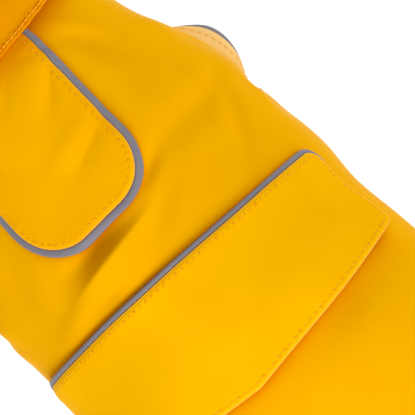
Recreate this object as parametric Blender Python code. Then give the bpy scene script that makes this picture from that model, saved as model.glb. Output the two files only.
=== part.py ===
"""Dog raincoat for a small dog, in metres, worn and hollow.

The head end is towards -X, the tail towards +X, +Z is up and +Y is the dog's right side. The origin is on
the underside of the back panel, on the centre back under the rear flap's seam, where the wearer's back
carries it.

Everything lies on one surface, coat(): a station along the body, an angle round it from the centre back, and
a lift off the middle of the back panel's wall. A flat pattern is laid on it by its distance round the body.
"""

import math

import bpy
import numpy as np

# --- cloth and seams ---
GAP = 0.0003  # between sewn pieces
LAID_GAP = 0.0006  # between a panel and what lies on it
BODY_WALL = 0.0012
FLAP_WALL = 0.0012
COLLAR_WALL = 0.0012
STRAP_WALL = 0.0015
TAPE_WALL = 0.0009  # hook tape and loop tape
PIPING_WALL = 0.0010
PIPING_SHOWS = 0.0028  # beyond the edge that it is sewn under
PIPING_TUCK = 0.0008  # under that edge

# --- the wearer's trunk: the middle of the back panel's wall, by station ---
FIGURE_COLUMNS = ("station", "half_width", "half_depth", "back_height")
FIGURE = (
    (-0.185, 0.0490, 0.0500, 0.0180),
    (-0.160, 0.0495, 0.0515, 0.0150),
    (-0.130, 0.0522, 0.0550, 0.0105),
    (-0.100, 0.0576, 0.0640, 0.0068),
    (-0.076, 0.0656, 0.0745, 0.0046),
    (-0.050, 0.0738, 0.0820, 0.0030),
    (-0.015, 0.0759, 0.0850, 0.0016),
    (0.000, 0.0770, 0.0852, 0.0006),
    (0.020, 0.0760, 0.0850, 0.0004),
    (0.045, 0.0786, 0.0830, -0.0006),
    (0.080, 0.0805, 0.0795, -0.0030),
    (0.120, 0.0785, 0.0750, -0.0072),
    (0.160, 0.0740, 0.0700, -0.0135),
    (0.206, 0.0660, 0.0635, -0.0240),
)

# --- rows of the back panel: where each starts on the centre back, and where it meets the hem ---
ROW_COLUMNS = ("row", "back_station", "hem_station", "hem_angle")
ROWS = (
    ("neck seam", -0.1300, -0.1555, 192.0),
    ("wing", -0.1130, -0.1345, 192.0),
    ("wing", -0.0990, -0.1155, 190.5),
    ("wing corner", -0.0890, -0.1000, 184.0),
    ("wing hem", -0.0830, -0.0935, 162.0),
    ("foreleg front", -0.0770, -0.0875, 137.0),
    ("foreleg front", -0.0700, -0.0785, 116.0),
    ("foreleg arch", -0.0600, -0.0620, 106.0),
    ("foreleg back", -0.0500, -0.0470, 112.0),
    ("foreleg back", -0.0430, -0.0380, 126.0),
    ("strap front", -0.0350, -0.0310, 136.0),
    ("strap back", -0.0120, -0.0080, 137.0),
    ("flank", 0.0300, 0.0320, 131.0),
    ("flank", 0.0850, 0.0830, 124.0),
    ("flank", 0.1400, 0.1330, 116.0),
    ("flank", 0.1800, 0.1680, 105.0),
    ("tail corner", 0.1960, 0.1800, 93.0),
    ("tail hem", 0.2060, 0.1915, 76.0),
)
ROWS_BETWEEN = (2, 2, 2, 2, 2, 3, 3, 3, 3, 2, 7, 5, 4, 4, 3, 2, 3)  # quads from each row to the next
PANEL_HALF_COLUMNS = 16  # quads from the centre back to the hem
PANEL_EVEN_ANGLE = 110.0  # hem angle at which they are evenly spread

# --- the two chest wings lap under the chest, the right one outside ---
WING_SPREAD = 0.0023  # each wing's own distance from the figure there
WING_SPREAD_ANGLES = (112.0, 158.0)
WING_SPREAD_AHEAD_OF = (0.0760, 0.0970)  # stations, forward of the origin

# --- shape that the cloth takes off the figure: soft troughs and ridges ---
FOLD_COLUMNS = ("fold", "station", "angle", "turn", "half_length", "half_width", "height")
FOLDS = (  # turn is in degrees from lengthwise towards the dog's right; a negative height is a trough
    ("foreleg flare right", -0.0605, 115.0, 0.0, 0.0160, 0.0160, 0.0115),
    ("foreleg flare left", -0.0600, -116.0, 0.0, 0.0160, 0.0170, 0.0100),
    ("strap tuck right", -0.0400, 98.0, 90.0, 0.0380, 0.0080, -0.0024),
    ("strap tuck left", -0.0400, -116.0, 90.0, 0.0220, 0.0080, -0.0020),
    ("strap end right", -0.0240, 132.0, 0.0, 0.0170, 0.0220, -0.0022),
    ("strap end left", -0.0240, -132.0, 0.0, 0.0170, 0.0180, -0.0018),
    ("flank swell left", -0.0280, -88.0, 4.0, 0.0220, 0.0300, 0.0020),
    ("back crease", -0.0240, -6.0, 84.0, 0.0185, 0.0046, -0.0028),
    ("back ridge", -0.0150, -8.0, 72.0, 0.0230, 0.0050, 0.0016),
    ("shoulder hollow right", -0.0960, 48.0, 20.0, 0.0220, 0.0100, -0.0014),
    ("shoulder hollow left", -0.0900, -52.0, -24.0, 0.0240, 0.0110, -0.0014),
    ("side hollow right", -0.0600, 58.0, 55.0, 0.0260, 0.0095, -0.0014),
    ("side hollow left", -0.0560, -66.0, -48.0, 0.0280, 0.0090, -0.0014),
    ("flank drape right", 0.0900, 100.0, 8.0, 0.0420, 0.0120, 0.0022),
    ("flank drape left", 0.0840, -104.0, -10.0, 0.0440, 0.0120, 0.0024),
    ("haunch hollow right", 0.1250, 66.0, 24.0, 0.0300, 0.0120, -0.0018),
    ("haunch hollow left", 0.1320, -60.0, -20.0, 0.0320, 0.0120, -0.0018),
    ("tail wave right", 0.1800, 42.0, 8.0, 0.0260, 0.0090, 0.0018),
    ("tail wave left", 0.1760, -48.0, -6.0, 0.0260, 0.0095, 0.0018),
)

# --- collar: a stand that turns over at the neck edge into a wider fall ---
COLLAR_EDGE = -0.1135  # the fall's free edge on the centre back
COLLAR_EDGE_TILT = 0.0170  # how far that edge runs forward, from the centre back to the side
COLLAR_FOLD = -0.1435
NECK_TILT = 0.0130  # the same of the neck seam and the collar's fold
COLLAR_HALF_ANGLE = 165.0  # the two ends part at the throat
COLLAR_END_RADIUS = 0.0100
FALL_LIFT = 0.0049
COLLAR_COLUMNS = 38
FALL_ROWS = 4
FOLD_ROWS = 4
STAND_ROWS = 2

# --- rounded flap over the lead opening ---
LEAD_FLAP_TOP = -0.1245
LEAD_FLAP_END = -0.0362
LEAD_FLAP_HALF_WIDTH = 0.0318
LEAD_FLAP_CORNER = 0.0212
LEAD_FLAP_SHIFT = -0.0008
LEAD_FLAP_SEAT = 0.0018  # lift of its middle at the seam under the collar
LEAD_FLAP_LIFT = 0.0032
LEAD_FLAP_SETTLES_BY = -0.1155
LEAD_FLAP_GRID = (14, 12)
LEAD_PIPING_START = -0.1150
LEAD_PIPING_SIDE_SEGMENTS = 9
LEAD_PIPING_CORNER_SEGMENTS = 9
LEAD_PIPING_FLAT_SEGMENTS = 4  # from a corner to the middle of the flat end

# --- rear flap with a shallow point ---
REAR_FLAP_TOP = -0.0018
REAR_FLAP_HALF_WIDTH = 0.1002
REAR_FLAP_CORNER = 0.0080
REAR_FLAP_POINT = 0.0600
REAR_FLAP_SIDE_END = 0.0450
REAR_FLAP_LIFT = 0.0032
REAR_FLAP_FREE_LIFT = 0.0046  # of its loose lower edge
REAR_FLAP_LOOSENS = (0.15, 0.80)  # share of the way down
REAR_FLAP_SIDE_SETTLES = (0.70, 1.0)  # share of the way out to the right side
REAR_FLAP_GRID = (8, 26)
REAR_FLAP_CORNER_COLUMNS = 4  # of those, round each top corner
REAR_PIPING_CORNER_SEGMENTS = 8
REAR_PIPING_MIDDLE_SEGMENTS = 19

# --- belly strap, and its closure on the right flank ---
STRAP_STATIONS = (-0.0370, -0.0090)
STRAP_ANGLES = (-122.0, 121.0)
STRAP_LEAVES_PANEL = (141.0, 152.0)
STRAP_SEGMENTS = 34
STRAP_ROWS = 3
STRAP_TAPE_ANGLES = (122.0, 134.5)
STRAP_TAPE_STATIONS = (-0.0340, -0.0120)
CHEST_TAPE_ANGLE = 9.0  # either side of the middle of the chest
CHEST_TAPE_STATIONS = (-0.1330, -0.1120)
TAPE_GRID = (3, 6)

# --- hem piping ---
HEM_PIPING_FIRST_ROW = 3  # the wing's corner
TAIL_HEM_SEGMENTS = 14

FULL_TURN = 2 * math.pi
SLOPE_STEP = 1e-5  # for the directions along the surface
SHARP_ANGLE = math.radians(40.0)  # between faces that keep a crisp edge


def column(table, names, name):
    return np.array([row[names.index(name)] for row in table])


def smooth(keys, values, at):
    """Cubic through the rows of a table, with each row's slope from its neighbours."""
    slopes = np.gradient(values, keys)
    at = np.clip(at, keys[0], keys[-1])
    low = np.clip(np.searchsorted(keys, at, side="right") - 1, 0, len(keys) - 2)
    span = keys[low + 1] - keys[low]
    t = (at - keys[low]) / span
    start = values[low] * (1 + 2 * t) * (1 - t) ** 2 + slopes[low] * span * t * (1 - t) ** 2
    return start + values[low + 1] * t**2 * (3 - 2 * t) - slopes[low + 1] * span * t**2 * (1 - t)


def ramp(value, start, end):
    """0 before start and 1 after end, with a smooth rise."""
    t = np.clip((value - start) / (end - start), 0.0, 1.0)
    return t * t * (3 - 2 * t)


def figure(name, station):
    keys = column(FIGURE, FIGURE_COLUMNS, "station")
    return smooth(keys, column(FIGURE, FIGURE_COLUMNS, name), station)


def mean_radius(station):
    return (figure("half_width", station) + figure("half_depth", station)) / 2


def angle_at(station, across):
    """Angle round the body, in radians, of a point this far round it from the centre back."""
    return across / mean_radius(station)


def fold_height(station, angle):
    """Sum of the folds, each a soft lozenge on the surface, along its own direction."""
    height = np.zeros(np.broadcast(station, angle).shape)
    for fold in FOLDS:
        spec = dict(zip(FOLD_COLUMNS, fold))
        along = station - spec["station"]
        round_body = (angle - math.radians(spec["angle"])) * mean_radius(spec["station"])
        turn = math.radians(spec["turn"])
        down = along * math.cos(turn) + round_body * math.sin(turn)
        over = -along * math.sin(turn) + round_body * math.cos(turn)
        reach = (down / spec["half_length"]) ** 2 + (over / spec["half_width"]) ** 2
        height = height + spec["height"] * np.exp(-reach)
    return height


def trunk(station, angle):
    """Point on the plain figure."""
    half_depth = figure("half_depth", station)
    wide = figure("half_width", station) * np.sin(angle)
    high = figure("back_height", station) - half_depth * (1 - np.cos(angle))
    return np.stack(np.broadcast_arrays(station, wide, high), axis=-1)


def normal_of(shape, station, angle):
    """Unit direction out of a surface of station and angle, from its slopes both ways."""
    turn = SLOPE_STEP / mean_radius(station)
    along = shape(station + SLOPE_STEP, angle) - shape(station - SLOPE_STEP, angle)
    round_body = shape(station, angle + turn) - shape(station, angle - turn)
    normal = np.cross(along, round_body)
    return normal / np.linalg.norm(normal, axis=-1, keepdims=True)


def wing_spread(station, angle):
    laps = ramp(np.degrees(np.abs(angle)), *WING_SPREAD_ANGLES) * ramp(-station, *WING_SPREAD_AHEAD_OF)
    return WING_SPREAD * np.sign(angle) * laps


def surface(station, angle):
    """Middle of the back panel's wall: the figure with the folds, and the wings spread where they lap."""
    out = fold_height(station, angle) + wing_spread(station, angle)
    return trunk(station, angle) + normal_of(trunk, station, angle) * out[..., None]


def coat(station, angle, lift=0.0):
    """Point on the coat: lift is measured from the middle of the back panel's wall, outward."""
    station, angle, lift = np.broadcast_arrays(*(np.asarray(v, float) for v in (station, angle, lift)))
    return surface(station, angle) + normal_of(surface, station, angle) * lift[..., None]


def laid(station, across, lift):
    """Point of a flat pattern laid on the coat."""
    return coat(station, angle_at(station, across), lift)


# --- mesh building ---
def add_object(name, points, faces, material):
    mesh = bpy.data.meshes.new(name)
    mesh.from_pydata([tuple(p) for p in points], [], faces)
    mesh.validate()
    mesh.shade_smooth()
    mesh.set_sharp_from_angle(angle=SHARP_ANGLE)
    mesh.materials.append(material)
    part = bpy.data.objects.new(name, mesh)
    bpy.context.scene.collection.objects.link(part)
    return part


def wall(name, outer, inner, material):
    """Closed sheet between two grids of points, rows towards the tail and columns towards the dog's right."""
    rows, columns = outer.shape[:2]
    count = rows * columns
    points = np.concatenate([outer.reshape(count, 3), inner.reshape(count, 3)])

    def at(row, col, side=0):
        return side * count + row * columns + col

    faces = []
    for row in range(rows - 1):
        for col in range(columns - 1):
            quad = (at(row, col), at(row + 1, col), at(row + 1, col + 1), at(row, col + 1))
            faces.append(quad)
            faces.append(tuple(count + index for index in reversed(quad)))
    edge = [at(0, col) for col in range(columns - 1)]
    edge += [at(row, columns - 1) for row in range(rows - 1)]
    edge += [at(rows - 1, col) for col in range(columns - 1, 0, -1)]
    edge += [at(row, 0) for row in range(rows - 1, 0, -1)]
    for start, end in zip(edge, edge[1:] + edge[:1]):
        faces.append((start, end, end + count, start + count))
    return add_object(name, points, faces, material)


def band(name, corners, material):
    """Closed strip from sections of four corners each, with flat ends."""
    count = len(corners)
    faces = [(3, 2, 1, 0), tuple(4 * (count - 1) + k for k in range(4))]
    for section in range(count - 1):
        for k in range(4):
            here, after = 4 * section + k, 4 * section + (k + 1) % 4
            faces.append((here, after, after + 4, here + 4))
    return add_object(name, np.asarray(corners).reshape(4 * count, 3), faces, material)


def outward(path):
    """Unit direction to the left of a path in the flat, at each of its points."""
    step = np.gradient(path, axis=0)
    step /= np.linalg.norm(step, axis=1, keepdims=True)
    return np.stack([-step[:, 1], step[:, 0]], axis=1)


def piping(name, path, near, far, lift, tape):
    """Flat piping along a path in the flat, from near to far beyond it, its middle at this lift."""
    side = outward(path)
    inside, outside = path + side * near, path + side * far
    low, high = lift - PIPING_WALL / 2, lift + PIPING_WALL / 2
    sections = [laid(*inside.T, low), laid(*outside.T, low), laid(*outside.T, high), laid(*inside.T, high)]
    return band(name, np.stack(sections, axis=1), tape)


def material(name, colour, roughness, metallic=0.0, sheen=0.0):
    made = bpy.data.materials.new(name)
    made.use_nodes = True
    shader = made.node_tree.nodes["Principled BSDF"]
    shader.inputs["Base Color"].default_value = (*colour, 1.0)
    shader.inputs["Roughness"].default_value = roughness
    shader.inputs["Metallic"].default_value = metallic
    shader.inputs["Sheen Weight"].default_value = sheen
    made.diffuse_color = (*colour, 1.0)
    return made


# --- pieces ---
def panel_rows():
    """Back station, hem station and hem angle of every row of quads, evenly spread between the table's rows."""
    keys = np.arange(len(ROWS), dtype=float)
    between = [start + step / count for start, count in enumerate(ROWS_BETWEEN) for step in range(count)]
    at = np.array([*between, keys[-1]])
    back = smooth(keys, column(ROWS, ROW_COLUMNS, "back_station"), at)
    hem = smooth(keys, column(ROWS, ROW_COLUMNS, "hem_station"), at)
    angle = smooth(keys, column(ROWS, ROW_COLUMNS, "hem_angle"), at)
    return back, hem, np.radians(angle)


def row_station(back, hem, hem_angle, angle):
    """Station along a row, which lies in a leaning plane across the body."""
    return back + (hem - back) * (1 - np.cos(angle)) / (1 - np.cos(hem_angle))


def back_panel(cloth):
    back, hem, hem_angle = (v[:, None] for v in panel_rows())
    share = np.linspace(-1.0, 1.0, 2 * PANEL_HALF_COLUMNS + 1)[None, :]
    even = math.radians(PANEL_EVEN_ANGLE)
    angle = share * even + (hem_angle - even) * share * np.abs(share)
    station = row_station(back, hem, hem_angle, angle)
    return wall("back_panel", coat(station, angle, BODY_WALL / 2), coat(station, angle, -BODY_WALL / 2), cloth)


def collar(cloth):
    """Stand, fold and fall as one bent sheet, its two free ends rounded off."""
    half_angle = math.radians(COLLAR_HALF_ANGLE)
    angle = np.linspace(-half_angle, half_angle, COLLAR_COLUMNS + 1)[None, :]
    lean = np.cos(angle) - 1
    to_end = (half_angle - np.abs(angle)) * mean_radius(COLLAR_FOLD)
    rounding = np.clip(COLLAR_END_RADIUS - to_end, 0, None)
    short = COLLAR_END_RADIUS - np.sqrt(COLLAR_END_RADIUS**2 - rounding**2)
    edge = COLLAR_EDGE - short + COLLAR_EDGE_TILT * lean
    fold = COLLAR_FOLD + NECK_TILT * lean
    seam = ROWS[0][ROW_COLUMNS.index("back_station")] - GAP + NECK_TILT * lean
    bend = FALL_LIFT / 2

    fall = np.linspace(0, 1, FALL_ROWS + 1)[:, None]
    turn = np.linspace(0, math.pi, FOLD_ROWS + 1)[1:-1, None]
    stand = np.linspace(1, 0, STAND_ROWS + 1)[:, None]
    station = np.concatenate([
        edge * (1 - fall) + fold * fall,
        fold - bend * np.sin(turn),
        seam * (1 - stand) + fold * stand,
    ])
    lift = np.concatenate([np.full_like(fall, FALL_LIFT), bend + bend * np.cos(turn), np.zeros_like(stand)])
    ahead = np.concatenate([np.zeros_like(fall), -np.sin(turn), np.zeros_like(stand)])
    above = np.concatenate([np.ones_like(fall), np.cos(turn), -np.ones_like(stand)])
    half = COLLAR_WALL / 2
    outer = coat(station + ahead * half, angle, lift + above * half)
    inner = coat(station - ahead * half, angle, lift - above * half)
    return wall("collar", outer[::-1], inner[::-1], cloth)


def lead_flap_half_width(station):
    """Straight sides, then a round corner down to the flat end."""
    past = np.clip(station - (LEAD_FLAP_END - LEAD_FLAP_CORNER), 0.0, LEAD_FLAP_CORNER)
    return LEAD_FLAP_HALF_WIDTH - LEAD_FLAP_CORNER + np.sqrt(LEAD_FLAP_CORNER**2 - past**2)


def lead_flap_lift(station):
    settled = ramp(station, LEAD_FLAP_TOP, LEAD_FLAP_SETTLES_BY)
    return LEAD_FLAP_SEAT + (LEAD_FLAP_LIFT - LEAD_FLAP_SEAT) * settled


def lead_flap(cloth):
    rows, columns = LEAD_FLAP_GRID
    straight = np.linspace(LEAD_FLAP_TOP, LEAD_FLAP_END - LEAD_FLAP_CORNER, rows // 2, endpoint=False)
    turn = np.linspace(0, math.pi / 2, rows - rows // 2 + 1)
    station = np.concatenate([straight, LEAD_FLAP_END - LEAD_FLAP_CORNER * (1 - np.sin(turn))])[:, None]
    share = np.linspace(-1.0, 1.0, columns + 1)[None, :]
    across = LEAD_FLAP_SHIFT + share * lead_flap_half_width(station)
    station = station + 0 * across
    lift = lead_flap_lift(station)
    half = FLAP_WALL / 2
    return wall("lead_flap", laid(station, across, lift + half), laid(station, across, lift - half), cloth)


def lead_flap_edge():
    """Its loose edge in the flat, from the top on the dog's right round to the top on the left."""
    quarter = np.linspace(0, math.pi / 2, LEAD_PIPING_CORNER_SEGMENTS + 1)
    start = LEAD_FLAP_END - LEAD_FLAP_CORNER
    side = np.linspace(LEAD_PIPING_START, start, LEAD_PIPING_SIDE_SEGMENTS, endpoint=False)
    flat = LEAD_FLAP_HALF_WIDTH - LEAD_FLAP_CORNER
    end = np.linspace(flat, 0, LEAD_PIPING_FLAT_SEGMENTS + 1)[1:]
    round_down = start + LEAD_FLAP_CORNER * np.sin(quarter)
    round_in = flat + LEAD_FLAP_CORNER * np.cos(quarter)
    station = np.concatenate([side, round_down, np.full_like(end, LEAD_FLAP_END)])
    across = np.concatenate([np.full_like(side, LEAD_FLAP_HALF_WIDTH), round_in, end])
    right = np.stack([station, across], axis=1)
    path = np.concatenate([right, (right[:-1] * (1, -1))[::-1]])
    return path + (0, LEAD_FLAP_SHIFT)


def lead_flap_piping(tape):
    lift = BODY_WALL / 2 + LAID_GAP + PIPING_WALL / 2
    return piping("lead_flap_piping", lead_flap_edge(), -PIPING_TUCK, PIPING_SHOWS, lift, tape)


def rear_flap_top(across):
    past = np.clip(np.abs(across) - (REAR_FLAP_HALF_WIDTH - REAR_FLAP_CORNER), 0.0, REAR_FLAP_CORNER)
    return REAR_FLAP_TOP + REAR_FLAP_CORNER - np.sqrt(REAR_FLAP_CORNER**2 - past**2)


def rear_flap_bottom(across):
    share = np.abs(across) / REAR_FLAP_HALF_WIDTH
    return REAR_FLAP_POINT + (REAR_FLAP_SIDE_END - REAR_FLAP_POINT) * share


def rear_flap_lift(share_down, share_across):
    """Low along the stitched top and the dog's right side, and standing away at the loose lower edge."""
    loose = ramp(share_down, *REAR_FLAP_LOOSENS) * (1 - ramp(share_across, *REAR_FLAP_SIDE_SETTLES))
    return REAR_FLAP_LIFT + (REAR_FLAP_FREE_LIFT - REAR_FLAP_LIFT) * loose


def rear_flap_columns():
    """Shares across, closer together round the two top corners."""
    turn = np.linspace(0, math.pi / 2, REAR_FLAP_CORNER_COLUMNS + 1)
    corner = 1 - REAR_FLAP_CORNER / REAR_FLAP_HALF_WIDTH * (1 - np.sin(turn))
    middle = np.linspace(-corner[0], corner[0], REAR_FLAP_GRID[1] - 2 * REAR_FLAP_CORNER_COLUMNS + 1)[1:-1]
    return np.concatenate([-corner[::-1], middle, corner])


def rear_flap(cloth):
    down = np.linspace(0.0, 1.0, REAR_FLAP_GRID[0] + 1)[:, None]
    share = rear_flap_columns()[None, :]
    across = share * REAR_FLAP_HALF_WIDTH + 0 * down
    station = rear_flap_top(across) * (1 - down) + rear_flap_bottom(across) * down
    lift = rear_flap_lift(down, share)
    half = FLAP_WALL / 2
    return wall("rear_flap", laid(station, across, lift + half), laid(station, across, lift - half), cloth)


def rear_flap_piping(tape):
    """Along the top edge and round its corners, from the dog's left to the right."""
    turn = np.linspace(0, math.pi / 2, REAR_PIPING_CORNER_SEGMENTS + 1)[:-1]
    reach = REAR_FLAP_HALF_WIDTH - REAR_FLAP_CORNER
    corner = reach + REAR_FLAP_CORNER * np.sin(turn)
    middle = np.linspace(-reach, reach, REAR_PIPING_MIDDLE_SEGMENTS + 1)[1:-1]
    across = np.concatenate([-corner[::-1], middle, corner])
    path = np.stack([rear_flap_top(across), across], axis=1)
    lift = BODY_WALL / 2 + LAID_GAP + PIPING_WALL / 2
    return piping("rear_flap_piping", path, -PIPING_TUCK, PIPING_SHOWS, lift, tape)


def hem_path(side):
    """Stations and angles along the hem, from a wing's corner to the middle of the tail."""
    back, hem, hem_angle = panel_rows()
    first = sum(ROWS_BETWEEN[:HEM_PIPING_FIRST_ROW])
    middle = GAP / 2 / mean_radius(back[-1])
    last = np.linspace(hem_angle[-1], middle, TAIL_HEM_SEGMENTS + 1)[1:]
    tail = row_station(back[-1], hem[-1], hem_angle[-1], last)
    station = np.concatenate([hem[first:], tail])
    angle = np.concatenate([hem_angle[first:], last])
    return station, side * angle


def hem_piping(name, side, tape):
    station, angle = hem_path(side)
    round_body = angle * mean_radius(station)
    path = np.stack([station, round_body], axis=1)[::side]
    return piping(name, path, GAP, GAP + PIPING_SHOWS, 0.0, tape)


def strap_lift(angle):
    """On the outside of both flanks, and level with the figure across the belly."""
    sewn = BODY_WALL / 2 + LAID_GAP + STRAP_WALL / 2
    closed = sewn + 2 * (TAPE_WALL + GAP)
    panel_ends, free = STRAP_LEAVES_PANEL
    from_back = np.abs(np.degrees(angle))
    on_panel = 1 - ramp(from_back, panel_ends, free)
    return on_panel * np.where(angle < 0, sewn, closed)


def belly_strap(webbing):
    left, right = (math.radians(a) for a in STRAP_ANGLES)
    turn = np.linspace(left, right - FULL_TURN, STRAP_SEGMENTS + 1)[None, :]
    station = np.linspace(*STRAP_STATIONS, STRAP_ROWS + 1)[:, None] + 0 * turn
    signed = np.where(turn < -math.pi, turn + FULL_TURN, turn)
    lift = strap_lift(signed)
    half = STRAP_WALL / 2
    outer = coat(station, signed, lift + half)
    inner = coat(station, signed, lift - half)
    return wall("belly_strap", outer[:, ::-1], inner[:, ::-1], webbing)


def tape_patch(name, stations, angles, lift, tape):
    rows, columns = TAPE_GRID
    station = np.linspace(*stations, rows + 1)[:, None]
    angle = np.radians(np.linspace(*angles, columns + 1))[None, :]
    half = TAPE_WALL / 2
    return wall(name, coat(station, angle, lift + half), coat(station, angle, lift - half), tape)


def main():
    for old in list(bpy.data.objects):
        bpy.data.objects.remove(old, do_unlink=True)
    rain_cloth = material("coated_rain_cloth", (0.93, 0.47, 0.004), 0.42, sheen=0.1)
    reflective = material("reflective_piping", (0.27, 0.26, 0.27), 0.45, metallic=0.3)
    webbing = material("strap_cloth", (0.90, 0.44, 0.004), 0.5)
    fastening = material("hook_and_loop", (0.85, 0.42, 0.01), 0.95)

    back_panel(rain_cloth)
    collar(rain_cloth)
    lead_flap(rain_cloth)
    lead_flap_piping(reflective)
    rear_flap(rain_cloth)
    rear_flap_piping(reflective)
    hem_piping("hem_piping_right", 1, reflective)
    hem_piping("hem_piping_left", -1, reflective)
    belly_strap(webbing)

    on_panel = BODY_WALL / 2 + LAID_GAP + TAPE_WALL / 2
    tape_patch("strap_loop_tape", STRAP_TAPE_STATIONS, STRAP_TAPE_ANGLES, on_panel, fastening)
    tape_patch("strap_hook_tape", STRAP_TAPE_STATIONS, STRAP_TAPE_ANGLES, on_panel + TAPE_WALL + GAP, fastening)
    right = (180.0 - CHEST_TAPE_ANGLE, 180.0 + CHEST_TAPE_ANGLE)
    left = (-180.0 - CHEST_TAPE_ANGLE, -180.0 + CHEST_TAPE_ANGLE)
    tape_patch("chest_hook_tape", CHEST_TAPE_STATIONS, right, -on_panel, fastening)
    tape_patch("chest_loop_tape", CHEST_TAPE_STATIONS, left, on_panel, fastening)


main()
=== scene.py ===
import random
from math import atan2, cos, hypot, pi, radians, sin

import bmesh
import bpy
import numpy as np
from mathutils import Matrix, Vector


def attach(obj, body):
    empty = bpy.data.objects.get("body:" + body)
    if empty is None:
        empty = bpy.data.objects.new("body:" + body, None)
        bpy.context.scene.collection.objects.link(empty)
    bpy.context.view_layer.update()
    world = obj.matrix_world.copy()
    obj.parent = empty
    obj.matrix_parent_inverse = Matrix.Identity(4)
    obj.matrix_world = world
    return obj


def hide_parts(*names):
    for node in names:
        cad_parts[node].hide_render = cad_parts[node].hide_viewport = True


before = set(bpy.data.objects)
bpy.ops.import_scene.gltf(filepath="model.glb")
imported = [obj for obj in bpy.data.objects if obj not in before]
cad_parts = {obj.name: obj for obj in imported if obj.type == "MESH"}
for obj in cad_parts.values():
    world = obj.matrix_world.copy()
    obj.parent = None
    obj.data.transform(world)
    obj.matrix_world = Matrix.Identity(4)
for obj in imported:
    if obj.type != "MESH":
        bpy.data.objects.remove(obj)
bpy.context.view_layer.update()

# A small dog's raincoat, worn and hollow. Head towards -X, tail towards +X, the dog's right towards +Y.
# Every cloth piece lies on one surface: a station along the body, an angle round it from the centre back,
# and a lift off the middle of the back panel. A flat pattern is laid on it by its distance round the body.

sceneScale = {
    "slopeStep": 1e-5,  # for directions along the surface
    "upStep": 1e-3,  # and off it
    "weld": 2e-6,
    "least": 1e-12,  # keeps a division safe
}

# the trunk that fills the coat, as rings along the body, in metres
trunkRings = {
    "station": (-0.185, -0.16, -0.13, -0.1, -0.076, -0.05, -0.015,
                0.000, 0.02, 0.045, 0.08, 0.12, 0.16, 0.206),
    "halfWidth": (0.049, 0.0495, 0.0522, 0.0576, 0.0656, 0.0738, 0.0759,
                  0.077, 0.076, 0.0786, 0.0805, 0.0785, 0.074, 0.066),
    "halfDepth": (0.05, 0.0515, 0.055, 0.064, 0.0745, 0.082, 0.085,
                  0.0852, 0.085, 0.083, 0.0795, 0.075, 0.07, 0.0635),
    "backHeight": (0.018, 0.015, 0.0105, 0.0068, 0.0046, 0.003, 0.0016,
                   0.0006, 0.0004, -0.0006, -0.003, -0.0072, -0.0135, -0.024),
}

# soft troughs (below 0) and ridges that the cloth takes off that trunk, each in its own sizes:
# station, angle and turn in degrees, half length, half width, height in metres
mainFolds = (
    (-0.062, 124, 0, 0.0152, 0.0115, 0.0205),  # flare round the right foreleg
    (-0.074, 103, 0, 0.008, 0.006, -0.0012),  # the hollows that it stands out from
    (-0.047, 102, 0, 0.01, 0.007, -0.0018),
    (-0.07, 96, 0, 0.01, 0.006, 0.0012),
    (-0.06, -116, 0, 0.016, 0.017, 0.01),  # flare round the left foreleg
    (-0.04, 98, 90, 0.038, 0.008, -0.0024),  # drawn in by the strap, right
    (-0.04, -116, 90, 0.022, 0.008, -0.002),  # and left
    (-0.024, 132, 0, 0.017, 0.022, -0.0022),  # under the strap's end, right
    (-0.024, -132, 0, 0.017, 0.018, -0.0018),  # and left
    (-0.028, -88, 4, 0.022, 0.03, 0.002),  # swell of the left flank
    (-0.0294, -8.8, 93, 0.0165, 0.0048, -0.0028),  # hollow between the lead flap's end and its crease
    (-0.0132, -29.9, 102, 0.0173, 0.0055, 0.0014),  # the crease's ridge runs out
    (-0.0108, -15, 89, 0.0086, 0.0031, -0.0009),
    (-0.0382, 22.1, -64, 0.0119, 0.0038, -0.0017),  # hollow beside the lead flap's corner
    (-0.0231, 16.8, -58, 0.0158, 0.006, -0.0011),
    (-0.093, 49, 19, 0.0172, 0.0058, -0.0019),  # shoulder hollows and the ridges between them
    (-0.1022, 53.6, 49, 0.0171, 0.0041, 0.0009),
    (-0.095, -49, -24, 0.019, 0.007, -0.0019),
    (-0.101, -60, -44, 0.016, 0.0045, 0.0011),
    (-0.083, 84, 0, 0.008, 0.014, 0.0014),  # fuller at the right shoulder, in behind it, fuller on the left
    (-0.027, 98, 0, 0.0085, 0.015, -0.0024),
    (-0.033, -74, 0, 0.016, 0.016, 0.0026),
    (-0.119, 25, 98, 0.048, 0.0088, -0.0036),  # the hollow that the collar's edge presses
    (-0.0901, 19.5, -43, 0.0109, 0.0028, -0.0013),  # drag lines from under the collar
    (-0.1011, 5.4, -50, 0.0113, 0.0038, -0.0015),
    (-0.0615, 12.6, -66, 0.015, 0.0036, -0.0011),
    (-0.094, 14.2, -46, 0.012, 0.0024, 0.0007),
    (-0.069, 9.6, -70, 0.015, 0.0036, 0.0007),
    (-0.1053, 30.3, 79, 0.0126, 0.003, -0.0006),
    (-0.085, -18, 38, 0.014, 0.0032, -0.0008),
    (-0.045, 50, -86, 0.027, 0.0075, -0.002),  # side hollows
    (-0.0478, 64, -70, 0.0176, 0.0038, -0.0011),
    (-0.0296, 59.1, -39, 0.0215, 0.0046, -0.0014),
    (-0.056, -66, -48, 0.028, 0.008, -0.0021),
    (-0.0401, -42.1, -7, 0.0134, 0.0069, -0.0014),
    (-0.0378, -30, -5, 0.0134, 0.0056, 0.0009),
    (-0.031, -78, 62, 0.019, 0.005, -0.0014),
    (-0.029, 92, -8, 0.009, 0.0034, -0.0014),  # the flank turns in over the strap
    (-0.028, 106, -8, 0.011, 0.006, 0.001),
    (0.09, 100, 8, 0.042, 0.012, 0.0022),  # drape of the flanks
    (0.084, -104, -10, 0.044, 0.012, 0.0024),
    (0.125, 66, 24, 0.03, 0.012, -0.0018),  # haunch hollows
    (0.132, -60, -20, 0.032, 0.012, -0.0018),
    (0.18, 42, 8, 0.026, 0.009, 0.0018),  # waves of the tail end
    (0.176, -48, -6, 0.026, 0.0095, 0.0018),
)

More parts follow.
